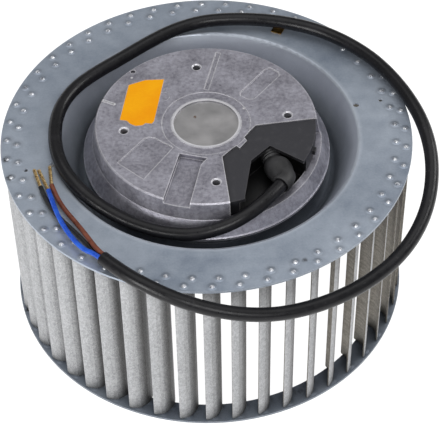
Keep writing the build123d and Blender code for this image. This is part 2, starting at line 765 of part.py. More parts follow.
def core_start(name):
    """Places where a wire leaves the end face of the sheath and where it first turns."""
    end = Vector(*cable_route[-1])
    along = (end - Vector(*cable_route[-2])).normalized()
    side = along.cross(Vector(0, 0, 1)).normalized()
    rise = side.cross(along)
    turn = math.radians(core_angles[name])
    start = end + side * (core_offset * math.cos(turn)) + rise * (core_offset * math.sin(turn))
    return [tuple(start), tuple(start + along * core_straight)]


def wire(name):
    """Insulated wire from the sheath's end to where it is stripped."""
    return lead(name, core_start(name) + wire_routes[name], wire_radius)


def conductor_ends():
    """Stripped ends of the three wires."""
    return [rod(route[-1], conductor_tips[name], conductor_radius) for name, route in wire_routes.items()]


def blank_label():
    """Paper label in its shallow field on the flange face."""
    return prism(label_outline, flange_face_z - label_sheet, flange_face_z)


def parts():
    """Every node's name and its solid, or its list of solids."""
    named = {
        "motor_flange": motor_flange(),
        "bearing_cap": bearing_cap(),
        "stator_core": stator_core(),
        "insulator_lower": insulator(stack_z - insulator_sheet),
        "insulator_upper": insulator(stack_top_z),
        "windings": windings(),
        "thermal_cutout": thermal_cutout(),
        "wave_spring": wave_spring(),
        "terminal_cover": terminal_cover(),
        "terminal_board": terminal_board(),
        "terminal_pins": terminal_pins(),
        "cable_grommet": cable_grommet(),
        "power_cable": lead("power_cable", cable_route, cable_radius),
        "conductor_ends": conductor_ends(),
        "blank_label": blank_label(),
        "impeller_plate": impeller_plate(),
        "inlet_ring": inlet_ring(),
        "impeller_blades": around(blade(), blade_count, blade_phase),
        "balance_weight": balance_weight(),
        "rotor_housing": rotor_housing(),
        "rotor_core": rotor_core(),
        "rotor_end_rings": rotor_end_rings(),
        "rotor_hub": rotor_hub(),
        "rotor_shaft": rotor_shaft(),
        "retaining_ring": retaining_ring(),
    }
    for name in wire_routes:
        named[name] = wire(name)
    for place, bottom in (("upper", upper_bearing_z), ("lower", lower_bearing_z)):
        named[place + "_outer_race"] = outer_race(bottom)
        named[place + "_inner_race"] = inner_race(bottom)
        named[place + "_balls"] = balls(bottom)
        named[place + "_ball_cage"] = cage(bottom)
    return named


def main():
    """Write one STEP file for each node."""
    os.makedirs("parts", exist_ok=True)
    for name, shape in parts().items():
        solids = shape if isinstance(shape, list) else list(shape.solids())
        solids = [solid for piece in solids for solid in piece.solids()]
        whole = solids[0] if len(solids) == 1 else Compound(children=solids)
        whole.label = name
        export_step(whole, os.path.join("parts", name + ".step"))


main()
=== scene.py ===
import json
import math
import random

import bmesh
import bpy
from mathutils import Matrix, Vector


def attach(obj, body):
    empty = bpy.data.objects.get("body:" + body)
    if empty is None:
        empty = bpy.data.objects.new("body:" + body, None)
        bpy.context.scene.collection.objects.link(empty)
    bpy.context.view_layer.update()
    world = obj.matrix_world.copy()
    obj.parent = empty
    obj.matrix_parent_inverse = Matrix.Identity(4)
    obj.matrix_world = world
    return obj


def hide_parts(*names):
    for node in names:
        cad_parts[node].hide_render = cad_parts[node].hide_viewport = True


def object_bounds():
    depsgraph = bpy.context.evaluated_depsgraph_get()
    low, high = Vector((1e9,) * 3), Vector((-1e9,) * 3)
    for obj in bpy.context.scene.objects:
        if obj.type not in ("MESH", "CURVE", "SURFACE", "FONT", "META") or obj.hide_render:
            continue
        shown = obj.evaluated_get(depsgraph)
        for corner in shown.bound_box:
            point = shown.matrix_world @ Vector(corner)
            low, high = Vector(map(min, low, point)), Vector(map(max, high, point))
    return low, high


# Range hood blower motor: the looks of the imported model, in metres and degrees, Z up along the shaft.
# The camera is the photograph's, fitted to the outlines of the wheel's two rims.

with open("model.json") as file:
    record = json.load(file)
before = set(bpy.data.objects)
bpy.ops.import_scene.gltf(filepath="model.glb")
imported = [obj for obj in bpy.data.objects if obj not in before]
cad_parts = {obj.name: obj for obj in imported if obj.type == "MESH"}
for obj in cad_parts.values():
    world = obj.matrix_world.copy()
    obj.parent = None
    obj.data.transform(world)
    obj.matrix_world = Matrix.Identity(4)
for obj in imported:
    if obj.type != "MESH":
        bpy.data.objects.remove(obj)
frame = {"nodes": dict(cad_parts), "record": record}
cad_nodes = frame["nodes"]
cad_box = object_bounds()

# Camera, fitted to a photograph of 440 by 429 pixels
image_width = 440
focal_pixels = 1726.654
sensor_width = 36.0
camera_distance = 0.82305
camera_elevation = 49.268
camera_pan = -0.388
camera_tilt = 1.783
camera_roll = -1.405

# The lead's route and its wires, as the model has them
cable_route = [
    (0.0311, -0.0344, 0.0932), (0.0255, -0.0420, 0.0932), (0.0180, -0.0489, 0.0921),
    (0.0082, -0.0542, 0.0900), (-0.0036, -0.0566, 0.0879), (-0.0162, -0.0549, 0.0866),
    (-0.0288, -0.0502, 0.0865), (-0.0404, -0.0438, 0.0876), (-0.0512, -0.0360, 0.0902),
    (-0.0598, -0.0260, 0.0930), (-0.0648, -0.0134, 0.0940), (-0.0663, 0.0008, 0.0941),
    (-0.0646, 0.0148, 0.0940), (-0.0586, 0.0276, 0.0938), (-0.0488, 0.0380, 0.0934),
    (-0.0376, 0.0470, 0.0934), (-0.0264, 0.0562, 0.0938), (-0.0146, 0.0646, 0.0941),
    (-0.0014, 0.0703, 0.0941), (0.0126, 0.0716, 0.0941), (0.0270, 0.0705, 0.0941),
    (0.0408, 0.0674, 0.0941), (0.0536, 0.0619, 0.0941), (0.0654, 0.0534, 0.0941),
    (0.0756, 0.0428, 0.0941), (0.0837, 0.0302, 0.0941), (0.0900, 0.0164, 0.0940),
    (0.0948, 0.0022, 0.0928), (0.0972, -0.0126, 0.0902), (0.0966, -0.0270, 0.0868),
    (0.0932, -0.0412, 0.0836), (0.0868, -0.0546, 0.0812), (0.0780, -0.0664, 0.0798),
    (0.0670, -0.0764, 0.0792), (0.0546, -0.0846, 0.0792), (0.0412, -0.0910, 0.0798),
    (0.0272, -0.0954, 0.0812), (0.0130, -0.0972, 0.0838), (-0.0008, -0.0966, 0.0872),
    (-0.0142, -0.0938, 0.0908), (-0.0266, -0.0882, 0.0936), (-0.0366, -0.0808, 0.0941),
    (-0.0434, -0.0740, 0.0941),
]
wire_routes = {
    "wire_blue": [
        (-0.04418, -0.07478, 0.09474), (-0.04737, -0.07160, 0.09474), (-0.0514, -0.0690, 0.0938),
        (-0.0570, -0.0616, 0.0939), (-0.0614, -0.0534, 0.0945), (-0.0646, -0.0444, 0.0944),
        (-0.0674, -0.0340, 0.0926)],
    "wire_black": [
        (-0.04340, -0.07400, 0.09282), (-0.04658, -0.07082, 0.09282), (-0.0502, -0.0646, 0.0922),
        (-0.0562, -0.0566, 0.0920), (-0.0616, -0.0502, 0.0920), (-0.0658, -0.0442, 0.0920),
        (-0.0688, -0.0376, 0.0920), (-0.0709, -0.0314, 0.0920)],
    "wire_brown": [
        (-0.04262, -0.07322, 0.09474), (-0.04580, -0.07003, 0.09474), (-0.0494, -0.0626, 0.0934),
        (-0.0547, -0.0532, 0.0923), (-0.0602, -0.0448, 0.0920), (-0.0640, -0.0372, 0.0920),
        (-0.0663, -0.0303, 0.0920)],
}
conductor_tips = {
    "wire_blue": (-0.0722, -0.0216, 0.0922), "wire_black": (-0.0742, -0.0210, 0.0920),
    "wire_brown": (-0.0676, -0.0194, 0.0920)}
wire_colours = (
    ("blue_insulation", (14, 62, 168), (28, 92, 206)),
    ("black_insulation", (20, 20, 22), (34, 34, 36)),
    ("brown_insulation", (98, 52, 36), (128, 72, 52)),
)
cable_radius = 0.003
wire_radius = 0.00105

# Curves: detail of the round section, order of the splines, and steps between two control points
section_detail = 6
spline_order = 3
spline_steps = 10

# Studio: each light has a name, a place, a size and a power
world_strength = 0.28
floor_size = 8.0
floor_glow = 1.0
lights = (
    ("low_light", (-0.9, -1.05, 0.42), 0.7, 10.5),
    ("front_light", (0.25, -1.0, 0.95), 0.6, 5.0),
    ("top_light", (0.0, 0.2, 1.7), 1.6, 8.0),
    ("side_light", (0.95, 0.35, 0.75), 0.5, 3.8),
)

# The wheel: its top, the zone of its ring that gets painted shade, the crease round its dish, and the dish's
# wall from foot to top, which gets painted light
plate_top_z = 0.09
ring_zone_z = 0.01
ring_zone_soft = 0.01
crease_radius = 0.0673
crease_soft = 0.0015
wall_foot_radius = 0.0533
wall_top_radius = 0.0653

# Clinched tabs: each place is given from the middle line of its blade's sector
tab_spots = ((0.0872, -0.00063), (0.0829, 0.0023))
blade_count = 48
blade_phase = 0.95
# Reach of the painted shade round each tab, then of the bump at its dimple's rim
tab_shade_radius = 0.0011
tab_shade_soft = 0.0026
tab_rim_radius = 0.0009
tab_rim_soft = 0.0012
tab_head_soft = 0.0001

# Dark stains on the wheel's top, each a place and a radius
stains = ((-0.0846, -0.0236, 0.0009), (-0.0869, -0.0127, 0.0007), (0.0392, -0.0742, 0.0003))
stain_soft = 0.0022

# The flange's face, and the marks on it: the cap's land, the screws' holes, traces of the mould and a nick
flange_face_z = cad_box[1][2]
cap_radius = 0.0142
# The cap's land: width and soft edge of its painted highlight, and its depth under the face
land_width = 0.0007
land_soft = 0.0004
land_depth = 0.0006
screw_count = 4
screw_circle_radius = 0.0359
screw_angle = 5.9
screw_hole_radius = 0.00165
# Width and soft edge of the painted light round each screw hole
screw_light_width = 0.0005
screw_light_soft = 0.0003
painted_screw = (-0.0357, -0.0037)
paint_radius = 0.0015
paint_soft = 0.0014
mould_ring = (-0.0187, 0.0173)
mould_ring_outer = 0.0030
mould_ring_inner = 0.0025
mould_pins = ((-0.0327, 0.0297), (0.0167, 0.0087))
mould_pin_radius = 0.0004
mould_pin_soft = 0.0003
nick_start = (-0.0457, 0.0157)
nick_end = (-0.0403, 0.0130)
nick_radius = 0.0007
nick_steps = 4
crisp_edge = 0.0002
cap_rust = (-0.0048, 0.0045)
cap_rust_radius = 0.0005
cap_rust_soft = 0.0009

# Height of one sheet of a lamination stack's lines, and of one turn of the windings
sheet_line = 0.0005
turn_line = 0.00022

# Masks: the middle of a noise's range, the open share of a hollow, and the turn of an edge as a cosine
noise_low = 0.3
noise_high = 0.7
hollow_shut = 0.35
hollow_open = 0.95
edge_flat = 0.99
edge_full = 0.82

# Grommet: the elbow from the cover to the lead. The ribbed neck points at the bulb. The shoulder is given
# by shares of its way to the knee and radii, the mouth by distances back from its end and radii
grommet_seat = (0.0269, -0.0139, 0.0906)
grommet_bulb = (0.0302, -0.0234, 0.0906)
neck_rings = 7
neck_pitch = 0.0007
neck_half_ring = 0.00032
neck_crest_radius = 0.0043
neck_groove_radius = 0.0036
neck_share = 0.62
knee_length = 0.0045
shoulder_turn = 1.4
shoulder = ((0.0, 0.0050), (0.12, 0.0055), (0.26, 0.00575), (0.42, 0.00575), (0.58, 0.0055), (0.74, 0.0049),
            (0.88, 0.0044), (1.0, 0.0042))
mouth = ((0.0028, 0.00415), (0.0012, 0.0041), (0.0003, 0.0041), (0.0, 0.0039), (0.0, 0.0033),
         (0.0012, 0.0032))

# Strands of a stripped wire, in rings of a radius and a count
strand_radius = 0.00017
strand_rings = ((0.0, 1), (0.00031, 6), (0.00058, 10))
strand_turns = 1.3
strand_steps = 12
strand_fan = 0.35
strand_shortest = 0.96
strand_detail = 1
middle_strand_steps = 2


def srgb(red, green, blue):
    """Linear colour of an sRGB colour of 0 to 255."""
    parts = []
    for value in (red, green, blue):
        part = value / 255
        parts.append(part / 12.92 if part <= 0.04045 else ((part + 0.055) / 1.055) ** 2.4)
    return (*parts, 1.0)


class Surface:
    """A Principled material, with short calls for the nodes that feed it."""

    def __init__(self, name, metallic):
        self.made = bpy.data.materials.new(name)
        self.made.use_nodes = True
        self.tree = self.made.node_tree
        self.shader = self.tree.nodes["Principled BSDF"]
        self.give("Metallic", metallic)
        coordinates = self.tree.nodes.new("ShaderNodeTexCoord")
        self.place = coordinates.outputs["Object"]
        self.normal = coordinates.outputs["Normal"]
        self.base = None

    def feed(self, socket, value):
        """Link a socket to another one, or set it."""
        if isinstance(value, bpy.types.NodeSocket):
            self.tree.links.new(value, socket)
        else:
            socket.default_value = value

    def give(self, name, value):
        """Feed one of the shader's inputs."""
        self.feed(self.shader.inputs[name], value)

    def add(self, kind, inputs, output=0, **settings):
        """Output of a new node whose inputs are given by name or number."""
        node = self.tree.nodes.new(kind)
        for key, value in settings.items():
            setattr(node, key, value)
        for key, value in inputs.items():
            self.feed(node.inputs[key], value)
        return node.outputs[output]

    def work_out(self, operation, first, second=0.0):
        """Result of a math node."""
        return self.add("ShaderNodeMath", {0: first, 1: second}, operation=operation)

    def plus(self, first, second):
        """Sum of two numbers."""
        return self.work_out("ADD", first, second)

    def times(self, first, second):
        """Product of two numbers."""
        return self.work_out("MULTIPLY", first, second)

    def stretched(self, stretch):
        """The point being shaded, with each axis scaled."""
        return self.add("ShaderNodeMapping", {"Vector": self.place, "Scale": stretch})

    def noise(self, scale, detail=4.0, stretch=(1.0, 1.0, 1.0)):
        """Noise of 0 to 1, with about scale grains to the metre."""
        return self.add("ShaderNodeTexNoise", {"Vector": self.stretched(stretch), "Scale": scale,
                                               "Detail": detail})

    def cells(self, scale, stretch):
        """Grey level that differs from cell to cell, as zinc spangle does."""
        colour = self.add("ShaderNodeTexVoronoi", {"Vector": self.stretched(stretch), "Scale": scale},
                          output="Color")
        return self.add("ShaderNodeSeparateColor", {0: colour})

    def remap(self, value, low, high, to_low=0.0, to_high=1.0):
        """Value stretched from one range to another, and held inside it."""
        return self.add("ShaderNodeMapRange", {"Value": value, "From Min": low, "From Max": high,
                                               "To Min": to_low, "To Max": to_high})

    def spread(self, noise, to_low=0.0, to_high=1.0):
        """Middle of a noise's range stretched to another range."""
        return self.remap(noise, noise_low, noise_high, to_low, to_high)

    def tone(self, *layers):
        """Sum of noises, each with its weight."""
        total = 0.0
        for noise, weight in layers:
            total = self.plus(self.spread(noise, 0.0, weight), total)
        return total

    def coordinate(self, axis):
        """One coordinate of the point being shaded."""
        return self.add("ShaderNodeSeparateXYZ", {0: self.place}, output=axis)

    def plan(self):
        """The point being shaded, laid flat."""
        return self.add("ShaderNodeVectorMath", {0: self.place, 1: (1.0, 1.0, 0.0)}, operation="MULTIPLY")

    def out(self):
        """Distance from the shaft."""
        return self.add("ShaderNodeVectorMath", {0: self.plan()}, output="Value", operation="LENGTH")

    def near(self, place, x, y, radius, soft):
        """1 where a flat place is within a radius of a point, falling to 0 over a soft edge."""
        distance = self.add("ShaderNodeVectorMath", {0: place, 1: (x, y, 0.0)}, output="Value",
                            operation="DISTANCE")
        return self.remap(distance, radius, radius + soft, 1.0, 0.0)

    def spot(self, x, y, radius, soft):
        """Soft-edged spot round a plan point."""
        return self.near(self.plan(), x, y, radius, soft)

    def copies(self, x, y, count, phase, radius, soft):
        """Soft-edged spots round count copies of a plan point, evenly spaced about the shaft."""
        out = self.out()
        half = math.pi / count
        angle = self.work_out("ARCTAN2", self.coordinate(1), self.coordinate(0))
        angle = self.work_out("SUBTRACT", angle, math.radians(phase))
        angle = self.add("ShaderNodeMath", {0: angle, 1: half, 2: -half}, operation="WRAP")
        across = self.times(out, self.work_out("COSINE", angle))
        along = self.times(out, self.work_out("SINE", angle))
        folded = self.add("ShaderNodeCombineXYZ", {0: across, 1: along, 2: 0.0})
        return self.near(folded, x, y, radius, soft)

    def above(self, height, soft):
        """1 above a height and 0 below it."""
        return self.remap(self.coordinate(2), height, height + soft)

    def level_lines(self, pitch):
        """Level lines that rise to 1 and fall to 0, each pitch high."""
        height = self.work_out("PINGPONG", self.coordinate(2), pitch)
        return self.remap(height, 0.0, pitch)

    def hollows(self, reach):
        """1 in creases and narrow gaps, and 0 in the open."""
        open_share = self.add("ShaderNodeAmbientOcclusion", {"Distance": reach}, output="AO", samples=6)
        return self.remap(open_share, hollow_shut, hollow_open, 1.0, 0.0)

    def edges(self, radius):
        """1 along the solid's sharp edges and 0 on its flats."""
        rounded = self.add("ShaderNodeBevel", {"Radius": radius}, samples=4)
        flat = self.add("ShaderNodeNewGeometry", {}, output="Normal")
        same = self.add("ShaderNodeVectorMath", {0: rounded, 1: flat}, output="Value",
                        operation="DOT_PRODUCT")
        return self.remap(same, edge_flat, edge_full)

    def mix(self, share, low, high):
        """Colour between two colours."""
        return self.add("ShaderNodeMix", {0: share, 6: low, 7: high}, output=2, data_type="RGBA")

    def paint(self, share, low, high):
        """Base colour between a low and a high one."""
        self.base = self.mix(share, low, high)
        self.give("Base Color", self.base)

    def over(self, mask, colour, strength=1.0):
        """Another colour laid over the base colour where a mask is 1."""
        self.paint(self.times(mask, strength), self.base, colour)

    def relief(self, *layers):
        """Bumps, each a height of 0 to 1 and its depth in metres."""
        normal = None
        for height, depth in layers:
            inputs = {"Height": height, "Distance": depth, "Strength": 1.0}
            if normal is not None:
                inputs["Normal"] = normal
            normal = self.add("ShaderNodeBump", inputs)
        self.give("Normal", normal)


# Materials

def galvanised_sheet():
    """Blue-grey zinc-coated sheet, cloudy, with a few dark stains; painted shade round the clinched tabs and
    in the ring's and the dish's creases, painted light on the dish's wall and painted highlights along its
    edges.
    """
    surface = Surface("galvanised_sheet", 0.55)
    clouds = surface.noise(26.0, 5.0)
    mottle = surface.noise(170.0, 5.0)
    grain = surface.noise(1100.0, 3.0)
    surface.paint(surface.tone((clouds, 0.55), (mottle, 0.3), (grain, 0.15)),
                  srgb(132, 143, 159), srgb(184, 193, 205))
    out = surface.out()
    inside = surface.remap(out, crease_radius + crease_soft, crease_radius - crease_soft)
    # painted light: the dish's wall is lightened towards its top, inside the crease
    wall_light = surface.remap(out, wall_foot_radius, wall_top_radius, 0.05, 0.5)
    surface.over(surface.times(wall_light, inside), srgb(228, 233, 242))
    tab_shade = []
    rims = []
    for x, y in tab_spots:
        tab_shade.append(surface.copies(x, y, blade_count, blade_phase, tab_shade_radius, tab_shade_soft))
        rims.append(surface.copies(x, y, blade_count, blade_phase, tab_rim_radius, tab_rim_soft))
    # painted shade: darker round each tab's dimple, in patches broken up by the mottle
    patchy_tab_shade = surface.times(surface.work_out("MAXIMUM", *tab_shade), surface.remap(mottle, 0.35, 0.65))
    surface.over(patchy_tab_shade, srgb(98, 102, 112), 0.4)
    flecks = surface.noise(700.0)
    for x, y, radius in stains:
        stain = surface.times(surface.spot(x, y, radius, stain_soft), flecks)
        surface.over(surface.remap(stain, 0.2, 0.6), srgb(48, 44, 42))
    # painted shade: darker in the creases low round the ring and inside the dish
    low = surface.work_out("SUBTRACT", 1.0, surface.above(ring_zone_z, ring_zone_soft))
    shade_zone = surface.work_out("MAXIMUM", low, inside)
    surface.over(surface.times(surface.hollows(0.012), shade_zone), srgb(26, 28, 33), 0.75)
    # painted highlight: paler along the sheet's sharp edges
    surface.over(surface.edges(0.0004), srgb(214, 220, 226), 0.6)
    surface.give("Roughness", surface.spread(clouds, 0.34, 0.46))
    surface.relief((mottle, 0.0001), (grain, 0.00004), (rims[0], 0.0003), (rims[1], 0.0003))
    return surface.made


def spangled_sheet():
    """Grainy zinc-coated sheet of the blades, with a painted tan reflection on the hollow side, painted shade
    between them, and the tabs' heads in zinc tone with painted highlights.
    """
    surface = Surface("spangled_sheet", 0.55)
    coarse = surface.cells(2100.0, (1.0, 1.0, 0.55))
    fine = surface.noise(2600.0, 3.0)
    patch = surface.noise(700.0, 3.0, (1.0, 1.0, 0.6))
    cloud = surface.noise(60.0, 3.0, (1.0, 1.0, 0.3))
    streaks = surface.noise(40.0, 4.0, (1.0, 1.0, 24.0))
    speckle = surface.plus(surface.remap(coarse, 0.1, 0.9, 0.0, 0.35),
                           surface.tone((fine, 0.3), (patch, 0.2), (cloud, 0.15)))
    surface.paint(speckle, srgb(138, 139, 141), srgb(204, 205, 207))
    # painted reflection: a tan tone on the side of each blade whose normal points clockwise round the shaft
    around = surface.add("ShaderNodeVectorMath", {0: (0.0, 0.0, 1.0), 1: surface.place},
                         operation="CROSS_PRODUCT")
    around = surface.add("ShaderNodeVectorMath", {0: around}, operation="NORMALIZE")
    facing = surface.add("ShaderNodeVectorMath", {0: surface.normal, 1: around}, output="Value",
                         operation="DOT_PRODUCT")
    side_reflection = surface.mix(surface.plus(speckle, surface.remap(streaks, 0.35, 0.65, -0.25, 0.25)),
                      srgb(130, 123, 113), srgb(190, 184, 172))
    surface.over(surface.remap(facing, -0.35, 0.1, 1.0, 0.0), side_reflection)
    # painted shade: darker in the gaps between the blades and at their roots
    surface.over(surface.hollows(0.012), srgb(48, 47, 46), 0.9)
    # the tabs' heads above the plate: zinc tone with painted highlights in patches
    head = surface.above(plate_top_z - tab_head_soft, tab_head_soft)
    wear_and_highlight = surface.mix(surface.remap(patch, 0.38, 0.58), srgb(128, 132, 142), srgb(240, 243, 248))
    surface.over(head, wear_and_highlight)
    surface.give("Roughness", surface.remap(head, 0.0, 1.0, 0.52, 0.3))
    surface.relief((coarse, 0.00003), (fine, 0.00003))
    return surface.made


def cast_aluminium():
    """Die-cast flange: finely mottled, scuffed, with traces of the mould, painted shade in its hollows and
    painted highlights along its edges, on the cap's land and round the screw holes.
    """
    surface = Surface("cast_aluminium", 0.7)
    mottle = surface.noise(620.0, 5.0)
    cloud = surface.noise(110.0, 5.0)
    grain = surface.noise(2000.0, 2.0)
    tone = surface.plus(surface.remap(mottle, 0.32, 0.68, 0.0, 0.4),
                        surface.tone((cloud, 0.35), (grain, 0.25)))
    surface.paint(tone, srgb(120, 118, 128), srgb(194, 193, 204))
    surface.over(surface.remap(surface.noise(520.0, 3.0), 0.66, 0.74), srgb(76, 73, 80), 0.4)
    ring = surface.work_out("SUBTRACT", surface.spot(*mould_ring, mould_ring_outer, crisp_edge),
                            surface.spot(*mould_ring, mould_ring_inner, crisp_edge))
    surface.over(ring, srgb(178, 178, 184), 0.6)
    for x, y in mould_pins:
        surface.over(surface.spot(x, y, mould_pin_radius, mould_pin_soft), srgb(236, 234, 236))
    paint = surface.times(surface.spot(*painted_screw, paint_radius, paint_soft), surface.noise(900.0))
    surface.over(surface.remap(paint, 0.42, 0.62), srgb(196, 104, 40))
    screw_hole_light = surface.copies(screw_circle_radius, 0.0, screw_count, screw_angle,
                         screw_hole_radius + screw_light_width, screw_light_soft)
    # painted light: the screw holes and a ring round each are lightened, for lit threads and a highlight on
    # the rim
    surface.over(surface.times(screw_hole_light, surface.remap(mottle, 0.35, 0.6, 0.35, 1.0)), srgb(226, 226, 232))
    # painted highlight: a bright ring on the cap's land round the cap
    land_edge = cap_radius + land_width
    land_highlight = surface.times(surface.remap(surface.out(), land_edge, land_edge + land_soft, 1.0, 0.0),
                         surface.above(flange_face_z - land_depth, crisp_edge))
    surface.over(land_highlight, srgb(240, 240, 244), 0.8)
    for step in range(nick_steps + 1):
        x, y = Vector(nick_start).lerp(Vector(nick_end), step / nick_steps)
        surface.over(surface.spot(x, y, nick_radius, crisp_edge), srgb(238, 238, 242))
    # painted shade: darker in the flange's hollows
    surface.over(surface.hollows(0.004), srgb(52, 50, 56), 0.5)
    # painted highlight: near white along the flange's sharp edges
    surface.over(surface.edges(0.0008), srgb(250, 249, 252))
    surface.give("Roughness", surface.spread(cloud, 0.36, 0.54))
    surface.relief((mottle, 0.00008), (grain, 0.00003), (ring, 0.0001))
    return surface.made


def cap_steel():
    """Satin pressed steel of the bearing cap and the cages, with a speck of rust on the cap and painted
    highlights along the edges.
    """
    surface = Surface("cap_steel", 0.8)
    cloud = surface.noise(110.0, 5.0)
    surface.paint(surface.spread(cloud), srgb(168, 167, 168), srgb(190, 188, 189))
    rust = surface.times(surface.spot(*cap_rust, cap_rust_radius, cap_rust_soft), surface.noise(1200.0))
    surface.over(surface.remap(rust, 0.25, 0.55), srgb(112, 84, 58))
    # painted highlight: paler along the steel's sharp edges
    surface.over(surface.edges(0.0004), srgb(235, 233, 230))
    surface.give("Roughness", surface.spread(cloud, 0.3, 0.46))
    surface.relief((surface.noise(1400.0, 2.0), 0.00003))
    return surface.made


def lamination_steel():
    """Stacked electrical sheet: fine level lines and a lacquered tone."""
    surface = Surface("lamination_steel", 0.85)
    lines = surface.level_lines(sheet_line)
    wear_and_highlight = surface.noise(300.0, 4.0)
    surface.paint(surface.times(lines, wear_and_highlight), srgb(70, 68, 68), srgb(136, 134, 132))
    surface.give("Roughness", surface.spread(wear_and_highlight, 0.35, 0.6))
    surface.relief((lines, 0.00008))
    return surface.made


def rotor_steel():
    """Deep-drawn steel cup, dark, with rings left by the drawing."""
    surface = Surface("rotor_steel", 0.85)
    rings = surface.noise(90.0, 5.0, (1.0, 1.0, 18.0))
    spots = surface.noise(260.0, 4.0)
    surface.paint(surface.spread(rings), srgb(96, 96, 100), srgb(146, 147, 150))
    surface.over(surface.remap(spots, 0.62, 0.8), srgb(74, 66, 60), 0.6)
    surface.give("Roughness", surface.spread(spots, 0.3, 0.45))
    surface.relief((rings, 0.00005))
    return surface.made


def bearing_steel():
    """Ground and polished bearing steel."""
    surface = Surface("bearing_steel", 1.0)
    film = surface.noise(220.0, 3.0)
    surface.paint(surface.spread(film), srgb(176, 178, 182), srgb(212, 213, 215))
    surface.give("Roughness", surface.spread(film, 0.1, 0.24))
    return surface.made


def copper_winding():
    """Enamelled copper wire laid side by side round the teeth."""
    surface = Surface("copper_winding", 0.9)
    turns = surface.level_lines(turn_line)
    surface.paint(surface.times(turns, surface.noise(200.0, 3.0)), srgb(104, 48, 22), srgb(206, 116, 62))
    surface.give("Roughness", 0.3)
    surface.relief((turns, 0.0001))
    return surface.made


def brass():
    """Bare brass, slightly tarnished."""
    surface = Surface("brass", 1.0)
    film = surface.noise(420.0, 4.0)
    surface.paint(surface.spread(film), srgb(150, 108, 52), srgb(214, 176, 104))
    surface.give("Roughness", surface.spread(film, 0.26, 0.46))
    surface.relief((film, 0.00004))
    return surface.made


def bare_conductor():
    """Bare copper strands, brassy, with a patchy film."""
    surface = Surface("bare_conductor", 1.0)
    film = surface.noise(1500.0, 3.0)
    surface.paint(surface.spread(film), srgb(176, 140, 82), srgb(240, 216, 164))
    surface.give("Roughness", surface.spread(film, 0.2, 0.4))
    return surface.made


def insulation(name, dark, light):
    """Glossy extruded insulation of one wire."""
    surface = Surface(name, 0.0)
    tone = surface.noise(260.0, 3.0)
    surface.paint(surface.spread(tone), dark, light)
    surface.give("Roughness", surface.spread(tone, 0.22, 0.36))
    surface.relief((surface.noise(1300.0, 2.0), 0.00002))
    return surface.made


def black_plastic():
    """Moulded black cover: fine eroded grain, a little dust, painted shade in its hollows and painted
    highlights along its edges.
    """
    surface = Surface("black_plastic", 0.0)
    dust = surface.noise(330.0, 5.0)
    surface.paint(surface.remap(dust, 0.55, 0.8, 0.0, 0.35), srgb(46, 46, 51), srgb(80, 79, 83))
    # painted shade: near black in the cover's hollows and trough
    surface.over(surface.hollows(0.018), srgb(8, 8, 9))
    # painted highlight: paler along the cover's edges
    surface.over(surface.edges(0.0004), srgb(112, 110, 112), 0.55)
    surface.give("Roughness", surface.spread(dust, 0.36, 0.52))
    surface.relief((surface.noise(2200.0, 2.0), 0.00004))
    return surface.made


def insulator_plastic():
    """Matt moulded insulator."""
    surface = Surface("insulator_plastic", 0.0)
    surface.paint(surface.spread(surface.noise(160.0, 4.0)), srgb(214, 208, 190), srgb(236, 232, 220))
    surface.give("Roughness", 0.5)
    surface.relief((surface.noise(1800.0, 2.0), 0.00003))
    return surface.made


def black_rubber():
    """Moulded rubber of the grommet, matt, with a grey bloom."""
    surface = Surface("black_rubber", 0.0)
    bloom = surface.noise(180.0, 5.0)
    surface.paint(surface.remap(bloom, 0.4, 0.75), srgb(33, 33, 34), srgb(58, 58, 60))
    surface.give("Roughness", surface.spread(bloom, 0.42, 0.6))
    surface.relief((surface.noise(1700.0, 3.0), 0.00005))
    return surface.made


def cable_sheath():
    """Extruded sheath of the lead: black, satin, with faint scuffs and dust."""
    surface = Surface("cable_sheath", 0.0)
    scuff = surface.noise(420.0, 6.0)
    dust = surface.noise(90.0, 4.0)
    surface.paint(surface.remap(dust, 0.45, 0.75, 0.0, 0.7), srgb(16, 16, 19), srgb(30, 29, 33))
    surface.over(surface.remap(scuff, 0.68, 0.78), srgb(92, 90, 92), 0.4)
    surface.give("Specular IOR Level", 0.32)
    surface.give("Roughness", surface.spread(scuff, 0.24, 0.4))
    surface.relief((scuff, 0.00004))
    return surface.made


def orange_label():
    """Plain orange paper, faintly fibrous."""
    surface = Surface("orange_label", 0.0)
    fibre = surface.noise(900.0, 4.0, (1.0, 3.0, 1.0))
    surface.paint(surface.spread(surface.noise(80.0, 3.0)), srgb(248, 160, 2), srgb(254, 180, 6))
    surface.over(surface.remap(fibre, 0.3, 0.8), srgb(230, 142, 4), 0.25)
    surface.give("Specular IOR Level", 0.15)
    surface.give("Roughness", 0.6)
    surface.relief((fibre, 0.00003))
    return surface.made


def pale_floor():
    """Plain white backdrop that the object stands on."""
    surface = Surface("pale_floor", 0.0)
    surface.paint(surface.noise(3.0), srgb(116, 116, 116), srgb(122, 122, 122))
    surface.give("Roughness", 0.9)
    surface.give("Emission Color", (1.0, 1.0, 1.0, 1.0))
    surface.give("Emission Strength", floor_glow)
    return surface.made


# Pieces

def curve_piece(name, splines, radius, material):
    """Round curve piece of NURBS splines, each given by its control points."""
    data = bpy.data.curves.new(name, "CURVE")
    data.dimensions = "3D"
    data.bevel_depth = radius
    data.bevel_resolution = section_detail
    data.use_fill_caps = True
    for points in splines:
        spline = data.splines.new("NURBS")
        spline.points.add(len(points) - 1)
        for point, place in zip(spline.points, points):
            point.co = (*place, 1.0)
        spline.order_u = spline_order
        spline.use_endpoint_u = True
        spline.resolution_u = spline_steps
    data.materials.append(material)
    piece = bpy.data.objects.new(name, data)
    bpy.context.scene.collection.objects.link(piece)
    return piece


